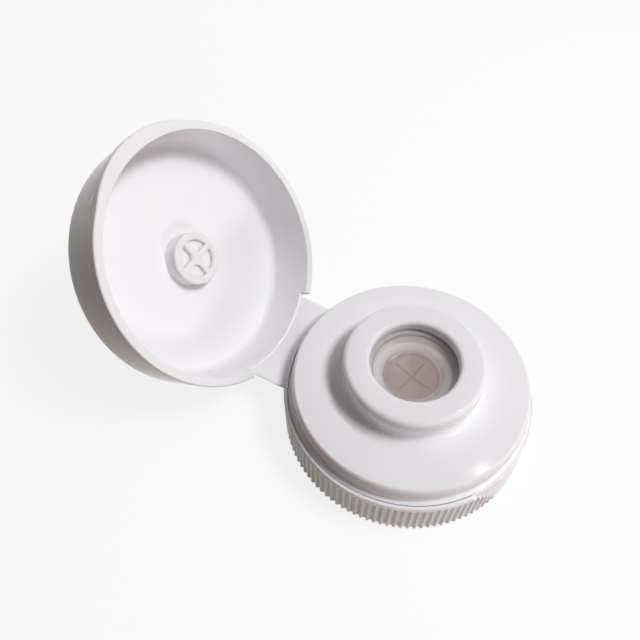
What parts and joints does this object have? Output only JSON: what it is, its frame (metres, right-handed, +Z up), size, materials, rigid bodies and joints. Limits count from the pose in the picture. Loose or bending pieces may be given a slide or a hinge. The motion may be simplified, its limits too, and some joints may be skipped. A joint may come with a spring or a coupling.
{
  "type": "flip-top dispensing closure",
  "caption": "Round flip-top squeeze bottle cap with a fluted skirt, a strap-hinged lid and a slit silicone valve in its nozzle.",
  "frame": {"origin": "centre of the bottle neck bore at the rim of the skirt, on the surface the base stands on", "axes": "+Z up along the nozzle's axis, +X away from the hinge towards the thumb pad, hinge line along Y on the -X side"},
  "size_m": [0.0747, 0.0426, 0.0415],
  "materials": {
    "moulding": "gloss",
    "silicone": "satin, translucent",
    "ring": "gloss"
  },
  "bodies": {
    "closure": {"base": "moulding", "valve": "silicone", "valve_ring": "ring"},
    "lid": {"lid": "moulding"}
  },
  "joints": [
    {"name": "lid_hinge", "type": "hinge", "parent": "closure", "child": "lid", "pos_m": [-0.0213, 0, 0.0068], "axis": [0, -1, 0], "range_deg": [-125.3, 9]}
  ]
}
